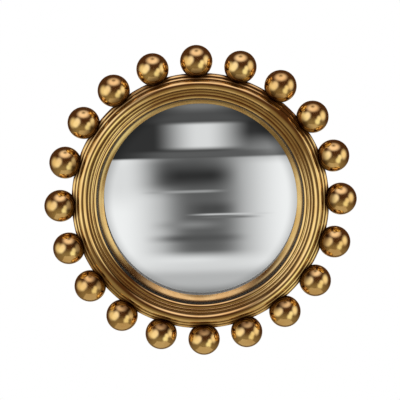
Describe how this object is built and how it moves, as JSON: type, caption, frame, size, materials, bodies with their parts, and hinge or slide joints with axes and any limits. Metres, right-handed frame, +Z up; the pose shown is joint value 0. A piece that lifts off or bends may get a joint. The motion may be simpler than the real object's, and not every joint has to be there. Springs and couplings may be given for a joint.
{
  "type": "convex butler's mirror",
  "caption": "Round convex wall mirror in a moulded gilt frame, ringed with turned gilt balls, with a black slip, a gilt liner and a hanging loop behind.",
  "frame": {"origin": "point of the wall behind the middle of the glass, in the plane of the four wall pads", "axes": "+Y into the wall along the mirror's axis, so the front faces -Y; +Z up; +X to the right as seen from the front"},
  "size_m": [0.5536, 0.0795, 0.5536],
  "materials": {
    "gilt_frame": "antique metal leaf over turned wood, satin",
    "gilt_rim": "antique metal leaf over turned wood, satin",
    "gilt_ball": "antique metal leaf over turned wood, satin gloss",
    "gilt_liner": "metal leaf over turned wood, satin",
    "black_slip": "ebonised, satin",
    "silvered_glass": "silvered on the back, polished",
    "foam": "closed cell foam strip, matte",
    "plywood": "raw birch plywood",
    "hardboard": "raw hardboard, smooth face out",
    "zinc_screw": "yellowish zinc plate",
    "plated_steel": "nickel plate, satin",
    "beech": "raw beech",
    "rubber_pad": "matte rubber"
  },
  "bodies": {
    "frame": {"front_ring": "gilt_frame", "back_ring": "gilt_rim", "black_slip": "black_slip", "sight_liner": "gilt_liner", "mirror_glass": "silvered_glass", "foam_ring": "foam", "packing_ring": "plywood", "backing_board": "hardboard", "backing_screws": "zinc_screw", "ring_screws": "zinc_screw", "ball_dowels": "beech", "hanger_strap": "plated_steel", "hanger_screws": "zinc_screw", "wall_pads": "rubber_pad", "ball_01": "gilt_ball", "ball_02": "gilt_ball", "ball_03": "gilt_ball", "ball_04": "gilt_ball", "ball_05": "gilt_ball", "ball_06": "gilt_ball", "ball_07": "gilt_ball", "ball_08": "gilt_ball", "ball_09": "gilt_ball", "ball_10": "gilt_ball", "ball_11": "gilt_ball", "ball_12": "gilt_ball", "ball_13": "gilt_ball", "ball_14": "gilt_ball", "ball_15": "gilt_ball", "ball_16": "gilt_ball", "ball_17": "gilt_ball", "ball_18": "gilt_ball", "ball_19": "gilt_ball", "ball_20": "gilt_ball"},
    "loop": {"hanging_loop": "plated_steel"}
  },
  "joints": [
    {"name": "loop_hinge", "type": "hinge", "parent": "frame", "child": "loop", "pos_m": [0, -0.00314, 0.206], "axis": [-1, 0, 0], "range_deg": [-3, 175]}
  ]
}
